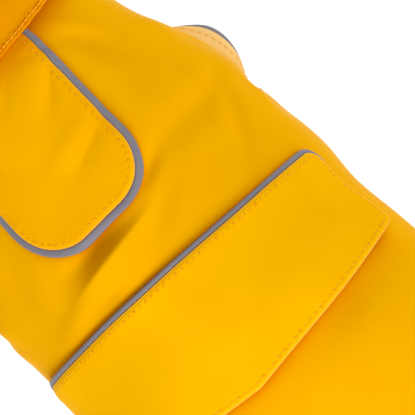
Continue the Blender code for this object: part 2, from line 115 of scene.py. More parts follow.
# pinched folds: as above, with a half width and a steepness of its own on each side of the crest, whose radius
# is the last number: station, angle, turn, half length, width ahead, width behind, height, crest
pinchedFolds = (
    (-0.0222, -6.4, 98, 0.0192, 0.0039, 0.016, 0.0057, 0.0007),  # crease by the lead flap's corner
    (-0.035, 84, -20, 0.011, 0.0052, 0.0024, 0.0008, 0.0006),  # turn of the right flank
    (-0.033, -98, 24, 0.014, 0.0026, 0.006, 0.0011, 0.0007),  # and of the left
    (0.088, 112, 78, 0.013, 0.004, 0.007, 0.001, 0.0008),  # under the rear flap's ends
    (0.08, -108, -80, 0.015, 0.0038, 0.008, 0.0012, 0.0008),
    (-0.112, 96, 8, 0.015, 0.005, 0.0028, 0.001, 0.0007),  # gathers of the chest below the collar
    (-0.108, -102, -12, 0.014, 0.003, 0.0052, 0.0011, 0.0007),
    (-0.11, 140, 14, 0.012, 0.0046, 0.003, 0.0009, 0.0007),
)

# the back dips past the rear flap's lower edges, which stand clear of it
flapHollows = (
    (0.058, 38, 98, 0.036, 0.009, -0.0018),
    (0.061, -24, 82, 0.026, 0.007, -0.0011),
    (0.057, -70, 80, 0.026, 0.008, -0.0013),
)

chestLap = {"spread": 0.0023, "fromAngle": 112, "toAngle": 158, "fromStation": 0.076, "toStation": 0.097}


def smoothCurve(keys, values, at):
    # cubic through the rows of a table, with each row's slope from its neighbours
    keys, values = np.asarray(keys, float), np.asarray(values, float)
    slopes = np.gradient(values, keys)
    at = np.clip(at, keys[0], keys[-1])
    low = np.clip(np.searchsorted(keys, at, side="right") - 1, 0, len(keys) - 2)
    span = keys[low + 1] - keys[low]
    t = (at - keys[low]) / span
    start = values[low] * (1 + 2 * t) * (1 - t) ** 2 + slopes[low] * span * t * (1 - t) ** 2
    return start + values[low + 1] * t**2 * (3 - 2 * t) - slopes[low + 1] * span * t**2 * (1 - t)


def ramp(value, start, end):
    t = np.clip((value - start) / (end - start), 0.0, 1.0)
    return t * t * (3 - 2 * t)


def bell(value, width, power=2):
    return np.exp(-((value / width) ** power))


def unit(vectors):
    return vectors / np.linalg.norm(vectors, axis=-1, keepdims=True)


def paired(first, second):
    return np.stack(np.broadcast_arrays(first, second), axis=-1)


def ring(name, station):
    return smoothCurve(trunkRings["station"], trunkRings[name], station)


def meanRadius(station):
    return (ring("halfWidth", station) + ring("halfDepth", station)) / 2


def alongAndAcross(station, angle, atStation, atAngle, turn):
    # distances from the middle of a fold, along it and across it
    along = station - atStation
    roundBody = (angle - radians(atAngle)) * meanRadius(atStation)
    cosTurn, sinTurn = cos(radians(turn)), sin(radians(turn))
    return along * cosTurn + roundBody * sinTurn, -along * sinTurn + roundBody * cosTurn


def foldHeight(station, angle, folds):
    height = np.zeros(np.broadcast(station, angle).shape)
    for *middle, halfLength, halfWidth, rise in folds:
        along, across = alongAndAcross(station, angle, *middle)
        height = height + rise * np.exp(-((along / halfLength) ** 2) - (across / halfWidth) ** 2)
    return height


def pinchedHeight(station, angle, folds):
    height = np.zeros(np.broadcast(station, angle).shape)
    for *middle, halfLength, widthAhead, widthBehind, rise, crest in folds:
        along, across = alongAndAcross(station, angle, *middle)
        width = np.where(across > 0, widthAhead, widthBehind)
        height = height + rise * np.exp(-((along / halfLength) ** 2) - (np.hypot(across, crest) - crest) / width)
    return height


def trunk(station, angle):
    wide = ring("halfWidth", station) * np.sin(angle)
    high = ring("backHeight", station) - ring("halfDepth", station) * (1 - np.cos(angle))
    return np.stack(np.broadcast_arrays(station, wide, high), axis=-1)


def normalOf(shape, station, angle):
    step = sceneScale["slopeStep"]
    turn = step / meanRadius(station)
    along = shape(station + step, angle) - shape(station - step, angle)
    roundBody = shape(station, angle + turn) - shape(station, angle - turn)
    return unit(np.cross(along, roundBody))


def lapSpread(station, angle):
    # the two chest wings part a little where the right one laps over the left
    laps = ramp(np.degrees(np.abs(angle)), chestLap["fromAngle"], chestLap["toAngle"])
    laps = laps * ramp(-station, chestLap["fromStation"], chestLap["toStation"])
    return chestLap["spread"] * np.sign(angle) * laps


def coatMiddle(station, angle):
    out = foldHeight(station, angle, mainFolds) + pinchedHeight(station, angle, pinchedFolds)
    out = out + foldHeight(station, angle, flapHollows) + lapSpread(station, angle)
    return trunk(station, angle) + normalOf(trunk, station, angle) * out[..., None]


def coat(station, angle, lift=0.0):
    station, angle, lift = np.broadcast_arrays(*(np.asarray(v, float) for v in (station, angle, lift)))
    return coatMiddle(station, angle) + normalOf(coatMiddle, station, angle) * lift[..., None]


def laid(station, across, lift):
    # point of a flat pattern laid on the coat
    return coat(station, across / meanRadius(station), lift)


print("coat surface ready")


def hexColour(code):
    # sRGB hex to the linear colour that shaders take
    parts = [int(code[k:k + 2], 16) / 255 for k in (0, 2, 4)]
    return (*[c / 12.92 if c <= 0.04045 else ((c + 0.055) / 1.055) ** 2.4 for c in parts], 1.0)


def addNode(tree, kind, values=None, links=None, **settings):
    # one node: its settings, the values of its sockets, and what is linked into them
    node = tree.nodes.new(kind)
    for key, value in settings.items():
        setattr(node, key, value)
    for key, value in (values or {}).items():
        node.inputs[key].default_value = value
    for key, source in (links or {}).items():
        tree.links.new(source, node.inputs[key])
    return node


def newMaterial(name):
    made = bpy.data.materials.new(name)
    made.use_nodes = True
    made.node_tree.nodes.clear()
    return made, made.node_tree


def blended(tree, low, high, factor):
    # from one colour to the other as the factor goes from 0 to 1
    return addNode(tree, "ShaderNodeMix", {6: hexColour(low), 7: hexColour(high)}, {"Factor": factor},
                   data_type="RGBA").outputs[2]


def stretched(tree, value, low, high):
    # what lies between low and high, as 0 to 1
    return addNode(tree, "ShaderNodeMapRange", {"From Min": low, "From Max": high},
                   {"Value": value}).outputs["Result"]


def waves(tree, place, mm, direction):
    # bands this far apart along an axis: the node turns once in 2 pi / 20, or 2 pi / 10 on its diagonal setting
    turn = 2 * pi / (10 if direction == "DIAGONAL" else 20)
    return addNode(tree, "ShaderNodeTexWave", {"Scale": 1000 / mm * turn}, {"Vector": place},
                   bands_direction=direction).outputs["Fac"]


def raised(tree, height, c, **settings):
    # bump, by the strength and depth in a material's dictionary
    strength, depth = c["relief"]
    return addNode(tree, "ShaderNodeBump", {"Strength": strength, "Distance": depth}, {"Height": height},
                   **settings).outputs["Normal"]


def finishMaterial(made, tree, values, links):
    shader = addNode(tree, "ShaderNodeBsdfPrincipled", values, links)
    addNode(tree, "ShaderNodeOutputMaterial", links={"Surface": shader.outputs["BSDF"]})
    return made


coatedCloth = {
    "colour": "f7b500",  # bright yellow of the coating
    "deep": "f4b100",  # where the coating is a little thicker
    "hollow": "e07c00",  # painted shade: deep orange painted into folds and under edges, where the cloth sees little open surroundings
    "paleEdgesAndPaintedSheen": "ffd48c",  # paler along turned edges, and painted sheen on the foreleg flares
    "hollowReach": 0.021,
    "hollowRange": (0.45, 0.985),  # share of open surroundings: fully painted shade, and none
    "hollowSamples": 12,
    "roughness": 0.46,
    "roughnessSpread": 0.05,
    "sheenTint": "fff0d8",
    "surface": {"Specular IOR Level": 0.0, "Sheen Weight": 0.5, "Sheen Roughness": 0.19},
    "mottleMm": 26.0,
    "mottleRoughness": 0.55,
    "mottleRange": (0.35, 0.65),
    "grainMm": 0.9,  # real grain is 0.2 mm, drawn coarser so that it shows
    "relief": (0.5, 0.00002),  # strength and depth of its bump
}


def puCoatedPolyester(name, tint=None):
    # polyurethane-coated polyester, knife coated: an even, soft satin skin over a fine weave, which pales where it
    # is seen at a low angle. Its colour also carries painted shade in hollows and behind the collar, and painted
    # sheen on the foreleg flares
    c = {**coatedCloth, **(tint or {})}
    made, tree = newMaterial(name)
    place = addNode(tree, "ShaderNodeTexCoord").outputs["Object"]
    mottle = addNode(tree, "ShaderNodeTexNoise",
                     {"Scale": 1000 / c["mottleMm"], "Detail": 3.0, "Roughness": c["mottleRoughness"]},
                     {"Vector": place})
    base = blended(tree, c["deep"], c["colour"], stretched(tree, mottle.outputs["Fac"], *c["mottleRange"]))
    # painted shade: ambient occlusion finds the hollows, folds and cloth under edges, where the colour turns deep
    # orange
    around = addNode(tree, "ShaderNodeAmbientOcclusion", {"Distance": c["hollowReach"]}, samples=c["hollowSamples"])
    paleAndPaintedLight = addNode(tree, "ShaderNodeAttribute", attribute_name="paleAndPaintedLight").outputs["Fac"]
    shade = stretched(tree, paleAndPaintedLight, -1.0, 0.0)  # below 0 the attribute carries painted shade; above 0, paler turned edges and painted sheen
    light = addNode(tree, "ShaderNodeMath", None,
                    {0: stretched(tree, around.outputs["AO"], *c["hollowRange"]), 1: shade}, operation="MULTIPLY")
    shaded = addNode(tree, "ShaderNodeMix", {6: hexColour(c["hollow"])},
                     {"Factor": light.outputs["Value"], 7: base}, data_type="RGBA")
    # paler turned edges, and painted sheen where the foreleg flares are seen at a low angle
    withPaleAndSheen = addNode(tree, "ShaderNodeMix", {7: hexColour(c["paleEdgesAndPaintedSheen"])},
                   {"Factor": paleAndPaintedLight, 6: shaded.outputs[2]}, data_type="RGBA")
    grain = addNode(tree, "ShaderNodeTexNoise", {"Scale": 1000 / c["grainMm"], "Detail": 2.0},
                    {"Vector": place}).outputs["Fac"]
    rough = addNode(tree, "ShaderNodeMapRange",
                    {"To Min": c["roughness"] - c["roughnessSpread"],
                     "To Max": c["roughness"] + c["roughnessSpread"]}, {"Value": grain})
    return finishMaterial(
        made, tree, {**c["surface"], "Sheen Tint": hexColour(c["sheenTint"])},
        {"Base Color": withPaleAndSheen.outputs[2], "Roughness": rough.outputs["Result"],
         "Normal": raised(tree, grain, c)})


wovenBack = {
    "colour": "f0ac10",
    "deep": "dc9806",
    "threadMm": 5.655,  # threads are 0.25 mm apart, drawn far coarser so that they show
    "relief": (0.6, 0.00008),
    "surface": {"Roughness": 0.72, "Specular IOR Level": 0.15, "Sheen Weight": 0.15, "Sheen Roughness": 0.5},
}


def wovenPolyesterBack(name):
    # the uncoated back of the same cloth: plain weave of filament yarn, matt and a shade deeper
    c = wovenBack
    made, tree = newMaterial(name)
    flat = addNode(tree, "ShaderNodeUVMap", uv_map="flat").outputs["UV"]
    warp, weft = (waves(tree, flat, c["threadMm"], way) for way in "XY")
    cross = addNode(tree, "ShaderNodeMath", links={0: warp, 1: weft}, operation="MULTIPLY").outputs["Value"]
    return finishMaterial(
        made, tree, c["surface"],
        {"Base Color": blended(tree, c["deep"], c["colour"], cross),
         "Normal": raised(tree, cross, c)})


reflectiveTape = {
    "colour": "82818f",
    "deep": "767584",
    "toneMm": 9.0,
    "surface": {"Roughness": 0.6},
    "beadMm": 0.7,  # glass beads are 0.05 mm, drawn coarser so that they show
    "relief": (0.5, 0.00003),
}


def retroreflectiveTape(name):
    # glass beads bonded to fabric tape over aluminium: grey, even and faintly silky out of a direct beam
    c = reflectiveTape
    made, tree = newMaterial(name)
    place = addNode(tree, "ShaderNodeTexCoord").outputs["Object"]
    beads = addNode(tree, "ShaderNodeTexVoronoi", {"Scale": 1000 / c["beadMm"]}, {"Vector": place})
    tone = addNode(tree, "ShaderNodeTexNoise", {"Scale": 1000 / c["toneMm"], "Detail": 3.0}, {"Vector": place})
    return finishMaterial(
        made, tree, c["surface"],
        {"Base Color": blended(tree, c["deep"], c["colour"], tone.outputs["Fac"]),
         "Normal": raised(tree, beads.outputs["Distance"], c)})


sewingThread = {
    "colour": "f9b508",
    "plyMm": 6.283,  # a turn of its ply is 0.5 mm, drawn coarser so that a stitch shows part of one
    "relief": (0.4, 0.00003),
    "surface": {"Roughness": 0.5, "Specular IOR Level": 0.25},
}


def corespunThread(name):
    # corespun polyester thread, lockstitched: a tight twist with a dull shine, a shade off the cloth
    c = sewingThread
    made, tree = newMaterial(name)
    place = addNode(tree, "ShaderNodeTexCoord").outputs["Object"]
    ply = waves(tree, place, c["plyMm"], "DIAGONAL")
    return finishMaterial(
        made, tree, {**c["surface"], "Base Color": hexColour(c["colour"])},
        {"Normal": raised(tree, ply, c)})


napTape = {"colour": "e9a412", "deep": "c98606", "tuftMm": 1.4, "relief": (0.8, 0.0003),
           "surface": {"Roughness": 0.9, "Specular IOR Level": 0.1, "Sheen Weight": 0.5}}


def brushedNylonTape(name):
    # woven nylon fastening tape with raised hooks or loops: matt and fuzzy, darker between the tufts
    c = napTape
    made, tree = newMaterial(name)
    place = addNode(tree, "ShaderNodeTexCoord").outputs["Object"]
    tufts = addNode(tree, "ShaderNodeTexVoronoi", {"Scale": 1000 / c["tuftMm"]},
                    {"Vector": place}).outputs["Distance"]
    return finishMaterial(
        made, tree, c["surface"],
        {"Base Color": blended(tree, c["colour"], c["deep"], tufts),
         "Normal": raised(tree, tufts, c, invert=True)})


rainCloth = puCoatedPolyester("puCoatedPolyesterYellow")
# painted shade and light: the collar is painted darker for the shade it sits in, and the rear flap a little lighter
# for the light it catches
shadedCollarCloth = puCoatedPolyester("puCoatedPolyesterTwoPlyPaintedShade", {"colour": "e69800", "deep": "e09200"})
litRearFlapCloth = puCoatedPolyester("puCoatedPolyesterPaintedLight", {"colour": "fdbe02", "deep": "faba00"})
clothBack = wovenPolyesterBack("plainWeavePolyesterBack")
pipingTape = retroreflectiveTape("retroreflectiveTapeGrey")
thread = corespunThread("corespunPolyesterThread")
fasteningTape = brushedNylonTape("wovenNylonHookAndLoop")
print("materials ready")


def linked(name, data):
    made = bpy.data.objects.new(name, data)
    bpy.context.scene.collection.objects.link(made)
    return made


def keepMesh(name, points, faces, materials, faceMaterial=None, flat=None, paleAndPaintedLight=None):
    mesh = bpy.data.meshes.new(name)
    mesh.from_pydata(np.asarray(points).tolist(), [], faces)
    for used in materials:
        mesh.materials.append(used)
    if faceMaterial is not None:
        mesh.polygons.foreach_set("material_index", faceMaterial)
    if flat is not None:
        corners = np.empty(len(mesh.loops), dtype=np.int32)
        mesh.loops.foreach_get("vertex_index", corners)
        layer = mesh.uv_layers.new(name="flat")
        layer.data.foreach_set("uv", np.asarray(flat)[corners].ravel())
    if paleAndPaintedLight is not None:
        mesh.attributes.new("paleAndPaintedLight", "FLOAT", "POINT").data.foreach_set("value", np.asarray(paleAndPaintedLight, float))
    mesh.shade_smooth()
    piece = linked(name, mesh)
    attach(piece, "root")
    return piece


def weldMesh(piece):
    # closes a pattern that was laid from its edge in to a line down its middle
    mesh = piece.data
    work = bmesh.new()
    work.from_mesh(mesh)
    bmesh.ops.remove_doubles(work, verts=work.verts, dist=sceneScale["weld"])
    bmesh.ops.dissolve_degenerate(work, edges=work.edges, dist=sceneScale["weld"])
    work.to_mesh(mesh)
    work.free()
    mesh.shade_smooth()


def fourSided(*corners):
    return np.stack(corners, axis=-1).reshape(-1, 4)


def rimLoop(index, wrap, spine):
    # corners round the loose edge, each with its neighbour further in, in the order of the outer faces
    lastCol = (index[:-1, -1], index[:-1, -2])
    if wrap:
        return index[:, -1], index[:, -2], True
    firstRow = (index[0, :-1], index[1, :-1])
    lastRow = (index[-1, :0:-1], index[-2, :0:-1])
    firstCol = (index[-1:, 0], index[-2:-1, 0]) if spine else (index[:0:-1, 0], index[:0:-1, 1])
    sides = (firstRow, lastCol, lastRow, firstCol)
    return np.concatenate([side[0] for side in sides]), np.concatenate([side[1] for side in sides]), not spine


def closedSheet(name, middle, up, thickness, materials, flat, paleAndPaintedLight, wrap=False, spine=False):
    # cloth of this thickness about a grid of points, with a rounded rim. wrap joins the last row to the first,
    # and spine leaves the first column without a rim, to be welded to itself
    rows, cols = middle.shape[:2]
    count = rows * cols
    half = (np.broadcast_to(thickness, (rows, cols)) / 2)[..., None]
    index = np.arange(count).reshape(rows, cols)
    here = index if wrap else index[:-1]
    after = np.roll(index, -1, axis=0) if wrap else index[1:]
    quads = fourSided(here[:, :-1], after[:, :-1], after[:, 1:], here[:, 1:])

    edge, inside, closed = rimLoop(index, wrap, spine)
    flatMiddle = middle.reshape(count, 3)
    away = flatMiddle[edge] - flatMiddle[inside]
    away /= np.maximum(np.linalg.norm(away, axis=1, keepdims=True), sceneScale["least"])
    rimPoints = flatMiddle[edge] + away * half.reshape(count)[edge][:, None]
    rim = 2 * count + np.arange(len(edge))
    first = np.arange(len(edge) if closed else len(edge) - 1)
    follow = (first + 1) % len(edge)
    rimOuter = fourSided(edge[first], edge[follow], rim[follow], rim[first])
    rimInner = fourSided(rim[first], rim[follow], edge[follow] + count, edge[first] + count)

    outer, inner = (middle + up * half).reshape(count, 3), (middle - up * half).reshape(count, 3)
    points = np.concatenate([outer, inner, rimPoints])
    faces = np.concatenate([quads, quads[:, ::-1] + count, rimOuter, rimInner])
    faceMaterial = np.zeros(len(faces), dtype=np.int32)
    if len(materials) > 1:
        faceMaterial[len(quads):2 * len(quads)] = 1
    flat, paleAndPaintedLight = flat.reshape(count, 2), np.broadcast_to(paleAndPaintedLight, (rows, cols)).reshape(count)
    piece = keepMesh(name, points, faces.tolist(), materials, faceMaterial,
                     np.concatenate([flat, flat, flat[edge]]), np.concatenate([paleAndPaintedLight, paleAndPaintedLight, paleAndPaintedLight[edge]]))
    if spine:
        weldMesh(piece)
    return piece


def leftOf(path):
    # unit direction to the left of a path in the flat, at each of its points
    step = unit(np.gradient(path, axis=0))
    return paired(-step[:, 1], step[:, 0])


def lengthAlong(path):
    # distance of each point from the start, and the whole length
    total = np.concatenate([[0], np.cumsum(np.linalg.norm(np.diff(path, axis=0), axis=1))])
    return total, total[-1]


def evenly(path, spacing):
    # the same path with points this far apart
    along, total = lengthAlong(path)
    at = np.linspace(0, total, max(2, int(round(total / spacing)) + 1))
    return np.stack([np.interp(at, along, path[:, k]) for k in (0, 1)], axis=1)


pipingForm = {
    "shows": {"hem": 0.0021, "leadFlap": 0.0036, "rearFlap": 0.0024},  # beyond the edge that it is sewn under
    "gap": 0.0002,  # between the edge and the cord, which shows as a dark line
    "thickness": 0.001,
    "thicknessOnFlaps": 0.0017,
    "sectionPoints": 18,
    "squareness": 0.8,  # 1 is an ellipse
    "spacing": 0.0009,
    "hemDroop": 0.0016,  # the hem turns under a little
    "ripple": 0.00004,  # drawn in at each stitch
    "drift": 0.00004,  # uneven width, in two waves
    "driftWaves": (0.0071, 0.0173),
    "driftTurn": 1.9,
}
stitchForm = {
    "pitch": 0.0033,
    "length": 0.0026,
    "thickness": 0.00044,
    "sides": 6,
    "sink": 0.00024,
    "uneven": 0.00012,
    "fromEnds": 0.002,
    "spacing": 0.0009,
    # one stitch from end to end: shares of its length and its thickness, and how its middle rises and dives
    "along": (0.0, 0.1, 0.32, 0.68, 0.9, 1.0),
    "girth": (0.35, 0.8, 1.0, 1.0, 0.8, 0.35),
    "rise": (-1.0, -0.2, 0.35, 0.35, -0.2, -1.0),
    # the groove that a row presses, with a pit at each needle hole
    "holeShare": 0.1,
    "pitSharpness": 5,
    "grooveShare": 0.15,
    "grooveHalfWidth": 0.0005,
    # the uneven puckers beside it
    "puckerHalfWidth": 0.0028,
    "puckerWaves": (0.0036, 0.0052, 0.0083, 0.0131),
    "puckerHeights": (0.6, 1.0),
    "puckerStretch": (0.9, 1.1),
    "puckerTurn": 6.3,
}


def flatPiping(name, node, path, shows, lift, thickness, droop=0.0):
    # folded tape that shows this far beyond a path in the flat, its middle at this lift
    f = pipingForm
    near, far = f["gap"], f["gap"] + shows
    path = evenly(path, f["spacing"])
    along = lengthAlong(path)[0]
    side = leftOf(path)
    shortWave, longWave = f["driftWaves"]
    drift = f["drift"] * (np.sin(along / shortWave) + np.sin(along / longWave + f["driftTurn"]))
    ripple = 1 - f["ripple"] / thickness * (1 + np.cos(2 * pi * along / stitchForm["pitch"]))
    turn = np.linspace(0, 2 * pi, f["sectionPoints"], endpoint=False)[None, :]
    wide, high = (np.sign(v) * np.abs(v) ** f["squareness"] for v in (np.cos(turn), np.sin(turn)))
    out = (near + far) / 2 + wide * (far - near) / 2 + (drift[:, None] * (wide > 0))
    spot = path[:, None, :] + side[:, None, :] * out[..., None]
    hangs = droop * ((out - near) / (far - near)) ** 2
    section = laid(spot[..., 0], spot[..., 1], lift - hangs + high * thickness / 2 * ripple[:, None])
    rows, cols = section.shape[:2]
    index = np.arange(rows * cols).reshape(rows, cols)
    turned = np.roll(index, -1, axis=1)
    faces = fourSided(turned[:-1], turned[1:], index[1:], index[:-1]).tolist()
    faces += [index[0].tolist(), index[-1, ::-1].tolist()]
    piece = keepMesh(name, section.reshape(-1, 3), faces, [pipingTape],
                     flat=spot.reshape(-1, 2))
    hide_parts(node)
    return piece


def stitchRow(name, place, total, seed, form=None):
    # lockstitches along a line: place(distance, lift) gives points on the cloth
    f = {**stitchForm, **(form or {})}
    dice = random.Random(seed)
    start, half = f["fromEnds"], f["thickness"] / 2
    count = int((total - 2 * start) / f["pitch"])
    begin = np.array([start + k * f["pitch"] + dice.uniform(-1, 1) * f["uneven"] for k in range(count)])
    reach = np.array([f["length"] + dice.uniform(-1, 1) * f["uneven"] for _ in range(count)])
    girth = np.array(f["girth"]) * half
    rise = np.array(f["rise"]) * half - f["sink"] + half
    at = begin[:, None] + np.array(f["along"])[None, :] * reach[:, None]
    middle = place(at, rise[None, :] + 0 * at)
    up = unit(place(at, rise[None, :] + sceneScale["upStep"]) - middle)
    side = np.cross(unit(np.gradient(middle, axis=1)), up)
    turn = np.linspace(0, 2 * pi, f["sides"], endpoint=False)
    sleeve = middle[:, :, None, :] + girth[None, :, None, None] * (
        np.cos(turn)[:, None] * side[:, :, None, :] + np.sin(turn)[:, None] * up[:, :, None, :])
    index = np.arange(sleeve.size // 3).reshape(sleeve.shape[:3])
    turned = np.roll(index, -1, axis=2)
    faces = fourSided(index[:, :-1], turned[:, :-1], turned[:, 1:], index[:, 1:]).tolist()
    faces += index[:, 0, ::-1].tolist() + index[:, -1].tolist()
    return keepMesh(name, sleeve.reshape(-1, 3), faces, [thread])


def insideOf(path, inset):
    path = evenly(path, stitchForm["spacing"])
    return path - leftOf(path) * inset


def stitchPath(name, path, topAt, seed):
    # stitches along a path in the flat, on cloth whose top has the lift topAt(station, across)
    along, total = lengthAlong(path)

    def place(at, lift):
        station, across = (np.interp(at, along, path[:, k]) for k in (0, 1))
        return laid(station, across, topAt(station, across) + lift)

    return stitchRow(name, place, total, seed)


def stitchRelief(along, inset, piece, seed):
    # how far a row of stitches draws the cloth of a piece down, with a pit at each needle hole and uneven
    # puckers beside it
    dice = random.Random(seed)
    f = {**stitchForm, **piece.get("stitches", {})}
    fromLine = inset - piece["stitchInset"]
    hole = 0.5 + 0.5 * np.cos(2 * pi * (along / f["pitch"] + f["holeShare"]))
    shape = f["grooveShare"] + (1 - f["grooveShare"]) * hole ** f["pitSharpness"]
    drawn = -piece["stitchDepth"] * shape * bell(fromLine, f["grooveHalfWidth"])
    waves = 0
    for wave in f["puckerWaves"]:
        height = dice.uniform(*f["puckerHeights"])
        turns = along / (wave * dice.uniform(*f["puckerStretch"]))
        waves = waves + height * np.cos(2 * pi * turns + dice.uniform(0, f["puckerTurn"]))
    return drawn + piece["pucker"] * waves * bell(fromLine, f["puckerHalfWidth"])


print("mesh builders ready")


# a stand that turns over at the neck into a wider fall, whose standing edge shades the back panel and lead flap;
# painted shade is also added to their colour just behind it
collar = {
    "thickness": 0.0012,
    "edge": -0.1127,  # the fall's free edge on the centre back
    "edgeTilt": 0.017,
    "fold": -0.1435,
    "neckSeam": -0.1303,
    "neckTilt": 0.013,
    "halfAngle": 165.0,
    "endRadius": 0.01,
    "fallLift": 0.0049,
    "columns": 620,
    "upStep": 0.0002,
    "samples": 900,
    # distances in from the free edge, close together along the stitches
    "edgeRows": (0, 0.0004, 0.0008, 0.0012, 0.0015, 0.0018, 0.0021, 0.0025, 0.003, 0.0036, 0.0044, 0.0056, 0.0072),
    "squaredUpOver": 0.012,  # where the fall is narrower than this, its rows close up
    "fallRows": 8,
    "foldRows": 9,
    "standRows": 5,
    # down the cut cloth: where the fall, the turn and the stand begin, and how long each is
    "cutStarts": (0.0072, 0.03, 0.0377),
    "cutLengths": (0.0228, 0.0077, 0.0132),
    "edgeSettles": 0.0006,
    "settleWidth": 0.0012,
    "turnPale": 0.03,
    "shade": 0.7,
    "shadeReach": 0.0085,
    "stitchInset": 0.0017,
    "stitchDepth": 0.0005,
    "stitchSettles": 0.00048,
    "stitchShort": 0.1,  # radians short of the fall's end
    "pucker": 0.0002,
    "stitches": {"pitch": 0.0027, "length": 0.0023, "thickness": 0.00075, "sink": 0.00002, "uneven": 0.0002,
                 "pitSharpness": 2, "grooveShare": 0.7, "grooveHalfWidth": 0.001},
}


def collarLines(angle):
    c = collar
    lean = np.cos(angle) - 1
    toEnd = (radians(c["halfAngle"]) - np.abs(angle)) * meanRadius(c["fold"])
    rounding = np.clip(c["endRadius"] - toEnd, 0, c["endRadius"])
    short = c["endRadius"] - np.sqrt(c["endRadius"] ** 2 - rounding**2)
    edge = c["edge"] - short + c["edgeTilt"] * lean
    return edge, c["fold"] + c["neckTilt"] * lean, c["neckSeam"] + c["neckTilt"] * lean


def collarShade(station, angle):
    # painted shade: how much of the open sky the standing edge of the collar hides from the cloth just behind it,
    # painted into that cloth's colour
    behind = station - collarLines(angle)[0]
    return collar["shade"] * bell(behind, collar["shadeReach"]) * (np.abs(angle) < pi)


# one width of cloth round the trunk, open under the belly, with two wings that lap over the chest
backPanel = {
    "thickness": 0.0009,
    "cadThickness": 0.0012,
    # rows of the pattern: station on the centre back, station and angle where the row meets the hem
    "backStation": (-0.13, -0.113, -0.099, -0.089, -0.083, -0.077, -0.07, -0.06, -0.05,
                    -0.043, -0.035, -0.012, 0.03, 0.085, 0.14, 0.18, 0.196, 0.206),
    "hemStation": (-0.1555, -0.1345, -0.1155, -0.1, -0.0935, -0.0875, -0.0785, -0.062, -0.047,
                   -0.038, -0.031, -0.008, 0.032, 0.083, 0.133, 0.168, 0.18, 0.1915),
    "hemAngle": (192.0, 192.0, 190.5, 184.0, 163.0, 140.0, 122.0, 117.0, 120.0,
                 128.0, 136.0, 137.0, 131.0, 124.0, 116.0, 105.0, 93.0, 76.0),
    "rowsBetween": (8, 8, 8, 7, 7, 8, 10, 12, 10, 14, 44, 20, 18, 16, 12, 8, 10),
    "halfColumns": 96,
    "evenAngle": 110.0,
    "pipedFromRow": 3,  # the wing's corner
    "hemStitchInset": 0.0023,
    "tailGap": 0.0003,  # between the ends of the two lengths of piping and the centre back
    "tailPoints": 60,
    "hemPale": 0.12,
    "hemPaleWidth": 0.0012,
    # painted sheen: the flare round each foreleg is painted pale beside the hem, as cloth there looks seen at a low
    # angle
    "flareStation": -0.06,
    "flareHalfLength": 0.019,
    "flarePaintedSheen": 0.85,
    "flarePaintedSheenWidth": 0.008,
    "shadeFromHem": 0.003,
}
liftOnPanel = backPanel["cadThickness"] / 2 + 0.0006  # the underside of what lies on it


def panelRows():
    p = backPanel
    keys = np.arange(len(p["backStation"]), dtype=float)
    between = [start + step / count for start, count in enumerate(p["rowsBetween"]) for step in range(count)]
    at = np.array([*between, keys[-1]])
    back, hem, angle = (smoothCurve(keys, p[name], at) for name in ("backStation", "hemStation", "hemAngle"))
    return back, hem, np.radians(angle)


def rowStation(back, hem, hemAngle, angle):
    return back + (hem - back) * (1 - np.cos(angle)) / (1 - np.cos(hemAngle))


def makeBackPanel():
    p = backPanel
    back, hem, hemAngle = (v[:, None] for v in panelRows())
    share = np.linspace(-1.0, 1.0, 2 * p["halfColumns"] + 1)[None, :]
    even = radians(p["evenAngle"])
    angle = share * even + (hemAngle - even) * share * np.abs(share)
    station = rowStation(back, hem, hemAngle, angle)
    middle, up = coat(station, angle), normalOf(coatMiddle, station, angle)
    flat = paired(station, angle * meanRadius(station))
    fromHem = (1 - np.abs(share)) * hemAngle * meanRadius(hem)
    paintedFlareSheen = bell(hem - p["flareStation"], p["flareHalfLength"], 4) * p["flarePaintedSheen"]
    paleAndPaintedLight = p["hemPale"] * bell(fromHem, p["hemPaleWidth"]) + paintedFlareSheen * bell(fromHem, p["flarePaintedSheenWidth"], 4)
    # painted shade behind the collar's edge, kept clear of the hem
    paleAndPaintedLight = paleAndPaintedLight - collarShade(station, angle) * (fromHem > p["shadeFromHem"])
    piece = closedSheet("backPanel", middle, up, p["thickness"], [rainCloth, clothBack],
                        flat, paleAndPaintedLight)
    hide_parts("back_panel")
    return piece


def hemPath(side):
    # stations and distances round the body along the hem, from a wing's corner to the middle of the tail
    back, hem, hemAngle = panelRows()
    first = sum(backPanel["rowsBetween"][:backPanel["pipedFromRow"]])
    last = np.linspace(hemAngle[-1], backPanel["tailGap"] / meanRadius(back[-1]), backPanel["tailPoints"])[1:]
    tail = rowStation(back[-1], hem[-1], hemAngle[-1], last)
    station = np.concatenate([hem[first:], tail])
    angle = np.concatenate([hemAngle[first:], last])
    return paired(station, side * angle * meanRadius(station))[::side]


def makeHemPiping(side, name, node):
    f = pipingForm
    return flatPiping(name, node, hemPath(side), f["shows"]["hem"], 0.0, f["thickness"], f["hemDroop"])


def makeHemStitches(side, name, seed):
    inside = insideOf(hemPath(side), backPanel["hemStitchInset"])
    return stitchPath(name, inside, lambda station, across: backPanel["thickness"] / 2, seed)


panelPiece = makeBackPanel()
hemPieces = [
    makeHemPiping(1, "hemPipingRight", "hem_piping_right"),
    makeHemPiping(-1, "hemPipingLeft", "hem_piping_left"),
    makeHemStitches(1, "hemStitchesRight", 12),
    makeHemStitches(-1, "hemStitchesLeft", 10),
]
print("back panel ready")


